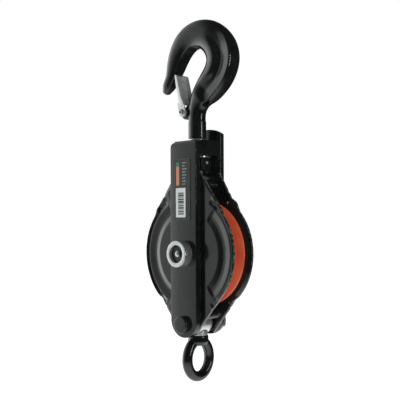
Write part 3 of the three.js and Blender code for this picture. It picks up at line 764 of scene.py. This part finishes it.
def strap_outline(z, top, corner, crown):
    """Half width of a strap at a level, and how square its side stands to the level."""
    if z < STRAP_END_CENTRE_Z:
        drop = STRAP_END_CENTRE_Z - z
        half = math.sqrt(max(STRAP_HALF_WIDTH ** 2 - drop ** 2, 0.01))
        return half, half / STRAP_HALF_WIDTH
    if z <= top - corner:
        return STRAP_HALF_WIDTH, 1.0
    if crown:
        arch = (STRAP_HALF_WIDTH - 0.2) * math.sqrt(max(top + crown - z, 0.001) / (crown + corner))
        half = min(STRAP_HALF_WIDTH, arch)
        return half, max(min(1, half / STRAP_HALF_WIDTH * 0.5), 0.05)
    rest = 1 - math.sqrt(max(top - z, 0) / corner)
    return STRAP_HALF_WIDTH - corner * rest ** 2, max(1 - rest, 0.08)


def strap(name, side, top, corner, crown, roll, edge):
    """A flat bar strap with a round lower end, drawn level by level.

    corner rounds the top's corners, crown is an arched top's height, roll is the depth and height over
    which the outer face rolls back at the top, and edge rounds the long edges.
    """
    bottom = STRAP_END_CENTRE_Z - STRAP_HALF_WIDTH
    peak = top + crown
    near_top = max(corner, STRAP_TOP_LEVELS)
    levels = [bottom + 0.02 + STRAP_HALF_WIDTH * (1 - math.cos(a))
              for a in np.linspace(0.03, math.pi / 2, 40)]
    levels += list(np.linspace(STRAP_END_CENTRE_Z + 4, top - near_top - 1, 30))
    levels += [peak - (near_top + crown) * (1 - t) ** 2 for t in np.linspace(0, 1, 34)]
    sections = []
    for z in levels:
        half, normal = strap_outline(z, top, corner, crown)
        front = STRAP_OUTER_Y
        back = STRAP_INNER_Y
        distance = min(z - bottom, peak - z)
        if distance < edge:
            pull = edge - math.sqrt(max(edge ** 2 - (edge - distance) ** 2, 0))
            front -= pull
            back += pull
        if roll and z > top - roll[1]:
            t = 1 - math.sqrt(max(top - z, 0) / roll[1])
            front = min(front, STRAP_OUTER_Y - roll[0] * t ** 2)
        sections.append(slab_section(z, half, side * back, side * front, edge / normal, edge))
    return loft(name, sections, sharp=50)


# ---------------- cheeks

# The outline, by degrees from level. A straight edge is its distance from the axle and the direction of
# its nearest point; a notch is its depth, place and width.
UPPER_LOBE = (4.8, 42, 53)  # swell past the circle, and where it comes in
UPPER_NECK = (67.7, 32.2)
UPPER_NOTCH = (1.2, 64.4, 0.9)
FRONT_STRAIGHT = (72.1, 37.4)
FRONT_NOTCH = (0.6, 60, 1.0)
LOWER_NECK = (68.8, 39.6)
LOWER_NOTCH = (0.8, 60, 0.9)
UPPER_END_Z = 95
LOWER_END_Z = 94

# Each slope of the pressed face is its depth, then the radii where it starts and ends.
GROOVE_IN = (1.8, 47.0, 53.4)
GROOVE_OUT = (1.3, 56.6, 63.8)
GROOVE_FADES_LEFT = (60, 66)  # degrees from level
GROOVE_FADES_RIGHT = (49, 53)
RIM_FLARE = (1.6, 65.8, 69.6)
RIM_DIP = (0.45, 65.0, 66.0)
POCKET_STEP = (1.5, 65.2, 69.0)
UPPER_POCKET_LIP = (2.2, 69.0, 73.6)
LOWER_POCKET_LIP = (1.6, 69.0, 73.6)
UPPER_POCKET = (47, 57.5)  # degrees from level
LOWER_POCKET = (51, 56)

CHEEK_STEPS = 480
CHEEK_RADII = [12.9, 20, 30, 40, 44, 45.4, 46, 46.5, 47, 47.5, 48.2, 50.2, 52.2, 52.9, 53.4, 53.9, 54.5,
               55.5, 56.1, 56.6, 57.1, 57.8, 60, 62.2, 62.9, 63.4, 63.9, 64.5, 64.9, 65.3, 65.7, 66.1, 66.6,
               67.2, 67.8, 68.3]
CHEEK_OUTER_RADII = 6  # points between those and the edge
# The last points: how far inside the edge each lies, and how far it is sunk in the face.
CHEEK_EDGE = ((0.45, 0.5), (0.12, 0.17503846), (0.0, 0.00250628))


def straight_edge(line, from_level):
    distance, direction = line
    return distance / math.cos(math.radians(from_level - direction))


def notch(shape, from_level):
    depth, place, width = shape
    return depth * math.exp(-((from_level - place) / width) ** 2)


def cheek_edge(angle, side):
    """Distance from the axle to the cheek's edge: a circle, a lobe beside the neck, then the neck.

    The front cheek's upper edges are straight instead of lobed.
    """
    from_level = math.degrees(math.asin(abs(math.sin(angle))))
    if math.sin(angle) > 0:
        end = UPPER_END_Z
        if side < 0 and from_level > FRONT_STRAIGHT[1]:
            share = smooth_step(from_level, 38, 46)
            edge = CHEEK_RADIUS * (1 - share) + straight_edge(FRONT_STRAIGHT, from_level) * share
            edge -= notch(FRONT_NOTCH, from_level)
        else:
            swell, starts, ends = UPPER_LOBE
            lobe = CHEEK_RADIUS + swell * smooth_step(from_level, starts, ends)
            neck = max(straight_edge(UPPER_NECK, from_level), lobe)
            edge = lobe + (neck - lobe) * smooth_step(from_level, 58.5, 60.5)
            edge -= notch(UPPER_NOTCH, from_level)
    else:
        end = LOWER_END_Z
        slanted = max(straight_edge(LOWER_NECK, from_level), CHEEK_RADIUS)
        edge = CHEEK_RADIUS + (slanted - CHEEK_RADIUS) * smooth_step(from_level, 43, 51)
        edge -= notch(LOWER_NOTCH, from_level)
    return min(edge, end / max(abs(math.sin(angle)), 0.01))


def cheek_face(radius, angle):
    """Outer face: a shallow groove on each side, a flared rim, and a pressed pocket beside each neck."""
    def sloped(shape, curve):
        depth, starts, ends = shape
        return depth * curve(radius, starts, ends)

    from_level = math.degrees(math.asin(abs(math.sin(angle))))
    upper = math.sin(angle) > 0
    groove = sloped(GROOVE_IN, ramp) - sloped(GROOVE_OUT, ramp)
    fades = GROOVE_FADES_LEFT if math.cos(angle) < 0 else GROOVE_FADES_RIGHT
    groove *= 1 - smooth_step(from_level, *fades)
    flare = sloped(RIM_FLARE, smooth_step) * (1 - smooth_step(from_level, 44, 50))
    dip = sloped(RIM_DIP, ramp) * (1 - smooth_step(from_level, 42, 48))
    starts, ends = UPPER_POCKET if upper else LOWER_POCKET
    beside = smooth_step(from_level, starts - 3, starts + 1) * (1 - smooth_step(from_level, ends, ends + 3))
    lip = sloped(UPPER_POCKET_LIP if upper else LOWER_POCKET_LIP, smooth_step)
    return CHEEK_OUTER_Y - groove + flare - dip - beside * (sloped(POCKET_STEP, ramp) - lip)


def cheek_radii(edge):
    """Radii of the points along one ray, with how far each is sunk in the face."""
    first = 68.9 if edge > 71 else 68.5
    plain = CHEEK_RADII + list(np.linspace(first, edge - 0.9, CHEEK_OUTER_RADII))
    return [(radius, 0) for radius in plain] + [(edge - inside, sunk) for inside, sunk in CHEEK_EDGE]


def cheek(name, side):
    """A pressed plate, from rays of points on its outer face and then on its inner face."""
    verts = []
    for offset, inward in ((0, 1), (CHEEK_THICKNESS, -1)):
        for i in range(CHEEK_STEPS):
            angle = 2 * math.pi * i / CHEEK_STEPS
            for radius, sunk in cheek_radii(cheek_edge(angle, side)):
                y = cheek_face(radius, angle) - offset - inward * sunk
                verts.append((radius * math.cos(angle), side * y, radius * math.sin(angle)))
    half = len(verts) // 2
    columns = half // CHEEK_STEPS
    last = columns - 1
    faces = []
    for i in range(CHEEK_STEPS):
        this = i * columns
        following = ((i + 1) % CHEEK_STEPS) * columns
        for k in range(last):
            a, b, c, d = this + k, this + k + 1, following + k + 1, following + k
            faces.append((a, b, c, d))
            faces.append((half + a, half + d, half + c, half + b))
        faces.append((this, following, half + following, half + this))
        faces.append((this + last, half + this + last, half + following + last, following + last))
    return new_object(name, verts, faces, sharp=60)


def body_frame():
    front = strap("front_strap_bar", -1, FRONT_STRAP_TOP, 6.5, 0, (6.5, 8.5), FRONT_STRAP_EDGE)
    settle(front, "frame", "black_paint", "black_paint", "front_strap")
    rear = strap("rear_strap_bar", 1, REAR_STRAP_TOP, 0.8, REAR_STRAP_CROWN, None, REAR_STRAP_EDGE)
    settle(rear, "frame", "black_paint", "black_paint", "rear_strap")
    dress("crosshead", "plain_paint", 0.6)
    for name, side in (("front_cheek", -1), ("rear_cheek", 1)):
        settle(cheek(name + "_pressing", side), "frame", "black_paint", "black_paint", name)


def distance_piece(node):
    """A round rod between the cheeks, in the place of the CAD's riveted spacer."""
    low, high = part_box(node)
    middle = ((low.x + high.x) / 2 / MM, 0, ((low.z + high.z) / 2 - AXLE_Z) / MM)
    bar = rod(node + "_rod", SPACER_RADIUS, -SPACER_HALF_LENGTH, SPACER_HALF_LENGTH, (0.5, 0.5), 3,
              steps=40, centre=middle)
    settle(bar, "frame", "black_paint", "black_paint", node)


# ---------------- sheave, axle, pin, eye


def sheave():
    groove = [(ROPE_GROOVE_CENTRE - ROPE_GROOVE_RADIUS * math.sin(a), ROPE_GROOVE_RADIUS * math.cos(a))
              for a in np.linspace(0.05, math.pi - 0.05, 25)]
    wall = [(16.3, 11.8), (25, 11.8), (26.5, 5), (44, 5), (47, 12), (62.5, 12), (62.5, 9.9)]
    lip = (ROPE_GROOVE_CENTRE, ROPE_GROOVE_RADIUS)
    near = rounded(wall + [lip], [0.4, 0.8, 2, 3, 1.0, 0.9, 0.9, 0.0], 5)[:-1]
    profile = near + groove + [(r, -y) for r, y in reversed(near)]
    wheel = turned("sheave_wheel", profile, steps=180, sharp=30)
    settle(wheel, "sheave", "orange_paint", "orange_paint", "sheave")
    bush = ring("sheave_bush_sleeve", 12.7, 16, -11.6, 11.6, 0.4)
    settle(bush, "sheave", "bronze", "bronze", "sheave_bush")


def axle():
    for side, tag in ((-1, "front"), (1, "rear")):
        nut = rectangle(10.2, 15.1, 25.2, 37, [0.3, 0.5, 0.7, 0.9], 5)
        piece = turned(tag + "_ring_nut", [(r, side * y) for r, y in nut], steps=128)
        settle(piece, "frame", "zinc", "zinc", tag + "_axle_nut")
        washer = ring(tag + "_thrust_plate", 12.7, 22, *sorted((side * 12.2, side * 13.7)), 0.3)
        settle(washer, "frame", "bronze", "bronze", tag + "_side_washer")
    end = rounded([(0, 33.6), (9.9, 33.6), (9.9, 13.7), (12.4, 13.7), (12.4, -13.7), (9.9, -13.7),
                   (9.9, -33.6), (3.3, -33.6), (3.3, -28), (0, -28)],
                  [0, 0.9, 0.2, 0.4, 0.4, 0.2, 0.9, 0.4, 0, 0])
    settle(turned("axle_spindle", end), "frame", "dark_steel", "dark_steel", "axle_pin")
    base = hexagonal("nipple_hex", 3.9, -35.3, -33.9, 1.5, axis="y")
    tip = turned("nipple_tip", [(0, -36.6), (0.8, -36.6), (1.6, -36.4), (2.1, -35.9), (1.5, -35.3),
                                (2.2, -34.9), (2.8, -34.6), (2.8, -28.4), (0, -28.4)], steps=48)
    settle(merged("grease_fitting", [base, tip]), "frame", "zinc", "zinc", "grease_nipple")


def lower_pin():
    centre = (0, 0, LOWER_PIN_Z)
    profile = rounded([(0, -31.2), (10, -31.2), (10, -25.2), (8, -25.2), (8, 41), (0, 41)],
                      [0, 1.4, 0.3, 0.3, 1.2, 0], 5)
    settle(turned("becket_pin", profile, centre=centre), "frame", "black_paint", "black_paint", "lower_pin")
    washer = ring("becket_pin_washer", 8.3, 14.5, 25.2, 27.1, 0.35, centre=centre)
    settle(washer, "frame", "zinc", "zinc", "lower_pin_washer")
    nut = hexagonal("becket_pin_nut", 14, 27.4, 36.2, 8.3, axis="y", centre=centre)
    settle(nut, "frame", "zinc", "zinc", "lower_pin_nut")
    # The split pin's wire in X and in height over the pin: up one leg, round the loop, down the other.
    wire = [(-0.65, -12.3), (-0.65, 9.5), (-1.3, 11.2), (-2.2, 12.4)]
    wire += [(2.5 * math.cos(a), 13.2 + 2.5 * math.sin(a)) for a in np.linspace(3.4, -0.26, 20)]
    wire += [(2.2, 12.2), (1.3, 11.2), (0.65, 9.5), (0.65, -12.9)]
    split = tube("becket_split_pin", [(x, SPLIT_PIN_Y, LOWER_PIN_Z + height) for x, height in wire], 0.85)
    settle(split, "frame", "zinc", "zinc", "lower_split_pin")


def eye_link():
    """The oval ring: a round wire along an ellipse in Y and Z."""
    verts = []
    along, around = 128, 48
    for i in range(along):
        a = 2 * math.pi * i / along
        tilt = math.hypot(EYE_HALF_HEIGHT * math.cos(a), EYE_HALF_WIDTH * math.sin(a))
        for j in range(around):
            b = 2 * math.pi * j / around
            out = EYE_WIRE_RADIUS * math.cos(b)
            y = (EYE_HALF_WIDTH + out * EYE_HALF_HEIGHT / tilt) * math.cos(a)
            z = (EYE_HALF_HEIGHT + out * EYE_HALF_WIDTH / tilt) * math.sin(a)
            verts.append((EYE_WIRE_RADIUS * math.sin(b), y, EYE_CENTRE_Z + z))
    return new_object("link", verts, grid_faces(along, around, closed=True))


def becket():
    barrel = ring("barrel", 8.3, 13, -10.9, 10.9, 0.6, centre=(0, 0, LOWER_PIN_Z))
    boss = ring("boss", 5.8, 11, -96.4, -90.6, [0.3, 0.6, 0, 0], axis="z")
    settle(merged("becket_sleeve", [barrel, boss]), "becket", "zinc", "zinc", "becket_hub")

    link = eye_link()
    flared = rounded([(0, -108.5), (9.6, -108.5), (12, -104.4), (12, -96.8), (0, -96.8)],
                     [0, 1.5, 0.8, 0.9, 0])
    collar = turned("eye_collar", flared, axis="z")
    stub = turned("eye_stub", [(0, -100), (5.5, -100), (5.5, -93.6), (4.9, -93), (0, -93)],
                  axis="z", steps=48)
    eye = forged("becket_ring", [link, collar, stub], 0.55, 4)
    settle(eye, "becket", "eye_paint", "eye_paint", "becket_eye")


# ---------------- label

LABEL_BACK_Y = -25.1
LABEL_FACE_Y = -25.5
PRINT_BACK_Y = -25.45  # print and panels start inside the film
# Left, right, bottom, top, front face, corner radius, finish.
LABEL_MARKS = [
    ("label_bar", -10.3, -5.4, 79.0, 101.3, -25.56, 0.3, "label_orange"),
    ("label_square", -10.3, -5.4, 101.2, 105.8, -25.60, 0.3, "label_teal"),
    ("label_panel", -10.8, 4.6, 42.0, 76.0, -25.56, 0.8, "label_white"),
]
# Height of each bar on the panel, and the gap below it.
BARS = [(1.4, 0.7), (2.4, 0.6), (0.8, 0.9), (1.9, 0.7), (2.6, 0.6), (0.9, 0.8), (1.6, 0.7), (2.2, 0.9),
        (0.9, 0.6), (1.8, 0.8), (1.6, 0.0)]
BARS_TOP = 70.6
DASHES = (6.5, 4.6, 6.9, 5.2, 6.9, 4.4, 6.0, 5.0)  # lengths
DASHES_LEFT = -0.6
DASHES_TOP = 105.4
DASH_PITCH = 3.5
DASH_HEIGHT = 1.1


def label():
    film = plate("label_film", rectangle(-13, 12, 38.8, 110.3, 2.2, 6), LABEL_FACE_Y, LABEL_BACK_Y, 0.1)
    settle(film, "frame", "label_dark", "label_film", "label")
    for name, left, right, bottom, top, face, corner, finish in LABEL_MARKS:
        mark = plate(name, rectangle(left, right, bottom, top, corner), face, PRINT_BACK_Y, 0.02)
        settle(mark, "frame", finish, "label_film")
    edge = rectangle(-12.2, 11.2, 39.6, 109.5, 2.4, 6)
    rim = tube("label_edge", [(x, LABEL_FACE_Y, z) for x, z in edge + edge[:1]], 0.16, 8)
    settle(rim, "frame", "label_line", "label_film")
    bars = []
    level = BARS_TOP
    for tall, gap in BARS:
        outline = rectangle(-7.1, 2.0, level - tall, level, 0.15, 2)
        bars.append(plate("bar", outline, -25.60, LABEL_FACE_Y, 0))
        level -= tall + gap
    settle(merged("label_bars", bars), "frame", "label_grey", "label_film")
    dashes = []
    for row, length in enumerate(DASHES):
        z = DASHES_TOP - row * DASH_PITCH
        outline = rectangle(DASHES_LEFT, DASHES_LEFT + length, z - DASH_HEIGHT, z, 0.3, 3)
        dashes.append(plate("dash", outline, -25.56, PRINT_BACK_Y, 0))
    settle(merged("label_dashes", dashes), "frame", "label_print", "label_film")


# ---------------- studio

# Sizes from here on are in metres.
CAMERA_AZIMUTH = math.radians(43.1)
CAMERA_ROLL = math.radians(-0.27)
CAMERA_DISTANCE = 0.88
CAMERA_RISE = 0.037  # above the axle
# How bright the studio is by the cosine of the angle from its large softbox on the left.
SOFTBOX = [(0.0, 0.005), (0.35, 0.015), (0.50, 0.05), (0.64, 0.15), (0.76, 0.215), (0.87, 0.265),
           (0.94, 0.50), (1.0, 0.70)]
SOFTBOX_WAY = (-math.sin(math.radians(78)), -math.cos(math.radians(78)), 0)
SOFTBOX_TINT = (0.95, 1, 0.965)
SOFTBOX_STRENGTH = 4.0
FLOOR_SPOT = 1.6  # brightness of the floor under the block
FLOOR_SPOT_FADES = (0.06, 0.50)  # distance from the middle
FLOOR_GAP = 0.06  # between the eye and the floor
FLOOR_RADII = (0.5, 1.2, 3, 9)
FLOOR_STEPS = 96
WHITE = (1, 1, 1, 1)
PAPER = (0.86, 0.86, 0.86, 1)
PAPER_GLOW = 0.93


def softbox(tree, direction):
    """Brightness of the studio in a direction, as a colour."""
    unit = new_node(tree, "VectorMath", "NORMALIZE")
    tree.links.new(direction, unit.inputs[0])
    dot = new_node(tree, "VectorMath", "DOT_PRODUCT")
    dot.inputs[1].default_value = SOFTBOX_WAY
    tree.links.new(unit.outputs["Vector"], dot.inputs[0])
    table = new_node(tree, "ValToRGB")
    stops = table.color_ramp.elements
    for index, (place, level) in enumerate(SOFTBOX):
        stop = stops[index] if index < 2 else stops.new(place)
        stop.position = place
        stop.color = (*(level * tint for tint in SOFTBOX_TINT), 1)
    tree.links.new(dot.outputs["Value"], table.inputs["Fac"])
    return table.outputs["Color"]


def camera_choice(tree, seen, lit):
    """One shader for camera rays and another for all the others."""
    choose = new_node(tree, "MixShader")
    tree.links.new(new_node(tree, "LightPath").outputs["Is Camera Ray"], choose.inputs[0])
    tree.links.new(lit, choose.inputs[1])
    tree.links.new(seen, choose.inputs[2])
    return choose.outputs["Shader"]


def paper():
    """Pale paper to the camera; to all other rays, a bright spot amid the softbox's light."""
    material = bpy.data.materials.new("paper")
    material.use_nodes = True
    tree = material.node_tree
    link = tree.links.new
    shader = tree.nodes["Principled BSDF"]
    shader.inputs["Base Color"].default_value = PAPER
    shader.inputs["Roughness"].default_value = 0.9
    shader.inputs["Emission Color"].default_value = WHITE
    shader.inputs["Emission Strength"].default_value = PAPER_GLOW
    flat = new_node(tree, "VectorMath", "MULTIPLY")
    flat.inputs[1].default_value = (1, 1, 0)
    link(new_node(tree, "NewGeometry").outputs["Position"], flat.inputs[0])
    reach = new_node(tree, "VectorMath", "LENGTH")
    link(flat.outputs["Vector"], reach.inputs[0])
    distance = reach.outputs["Value"]
    spot = new_node(tree, "Emission")
    link(spread(tree, distance, *FLOOR_SPOT_FADES, FLOOR_SPOT, 0.0), spot.inputs["Strength"])
    wide = new_node(tree, "Emission")
    link(softbox(tree, flat.outputs["Vector"]), wide.inputs["Color"])
    link(spread(tree, distance, *FLOOR_SPOT_FADES, 0.0, SOFTBOX_STRENGTH), wide.inputs["Strength"])
    both = new_node(tree, "AddShader")
    link(spot.outputs["Emission"], both.inputs[0])
    link(wide.outputs["Emission"], both.inputs[1])
    chosen = camera_choice(tree, shader.outputs["BSDF"], both.outputs["Shader"])
    link(chosen, tree.nodes["Material Output"].inputs["Surface"])
    return material


def floor():
    """A round floor, finer near the block."""
    level = cad_bounds[0][2] - FLOOR_GAP
    turns = [2 * math.pi * i / FLOOR_STEPS for i in range(FLOOR_STEPS)]
    verts = [(0, 0, level)]
    verts += [(radius * math.cos(t), radius * math.sin(t), level) for radius in FLOOR_RADII for t in turns]
    faces = [(0, 1 + i, 1 + (i + 1) % FLOOR_STEPS) for i in range(FLOOR_STEPS)]
    for k in range(len(FLOOR_RADII) - 1):
        a = 1 + k * FLOOR_STEPS
        b = a + FLOOR_STEPS
        faces += [(a + i, b + i, b + (i + 1) % FLOOR_STEPS, a + (i + 1) % FLOOR_STEPS)
                  for i in range(FLOOR_STEPS)]
    mesh = bpy.data.meshes.new("floor")
    mesh.from_pydata(verts, [], faces)
    mesh.materials.append(paper())
    linked("floor", mesh)


def aimed_light(name, place, aim, width, height, power):
    data = bpy.data.lights.new(name, "AREA")
    data.shape = "RECTANGLE"
    data.size = width
    data.size_y = height
    data.energy = power
    lamp = linked(name, data)
    lamp.location = place
    lamp.rotation_euler = (Vector(aim) - Vector(place)).to_track_quat("-Z", "Y").to_euler()
    return lamp


def background():
    """White to the camera; the softbox to all other rays."""
    world = bpy.data.worlds.new("studio")
    scene.world = world
    world.use_nodes = True
    tree = world.node_tree
    tree.nodes.clear()
    seen = new_node(tree, "Background")
    seen.inputs["Color"].default_value = WHITE
    seen.inputs["Strength"].default_value = 1.0
    lit = new_node(tree, "Background")
    tree.links.new(softbox(tree, new_node(tree, "TexCoord").outputs["Generated"]), lit.inputs["Color"])
    lit.inputs["Strength"].default_value = SOFTBOX_STRENGTH
    chosen = camera_choice(tree, seen.outputs["Background"], lit.outputs["Background"])
    tree.links.new(chosen, new_node(tree, "OutputWorld").inputs["Surface"])


def camera():
    lens = bpy.data.cameras.new("camera")
    lens.lens = 67.1
    lens.sensor_width = 36
    lens.shift_x = 0.0057
    lens.shift_y = 0.054
    viewer = linked("camera", lens)
    viewer.location = (CAMERA_DISTANCE * math.sin(CAMERA_AZIMUTH),
                       -CAMERA_DISTANCE * math.cos(CAMERA_AZIMUTH), AXLE_Z + CAMERA_RISE)
    turn = Matrix.Rotation(CAMERA_AZIMUTH, 3, "Z") @ Matrix.Rotation(math.pi / 2, 3, "X")
    viewer.rotation_euler = (turn @ Matrix.Rotation(CAMERA_ROLL, 3, "Z")).to_euler()
    scene.camera = viewer
    scene.view_settings.view_transform = "Standard"


def studio():
    floor()
    # The fill lights matt surfaces only; the strip draws thin streaks on the glossy ones.
    fill = aimed_light("fill", (0.80, -0.42, -0.10), (0, 0, AXLE_Z), 0.5, 0.5, 9)
    fill.visible_glossy = False
    aimed_light("strip", (1.46, 0.34, -0.10), (0, 0, -0.12), 0.07, 0.9, 5)
    background()
    camera()


# ---------------- assembly

studio()
hook()
swivel()
latch()
body_frame()
sheave()
axle()
lower_pin()
becket()
label()
for spacer in ("upper_left_spacer", "upper_right_spacer", "lower_left_spacer", "lower_right_spacer"):
    distance_piece(spacer)
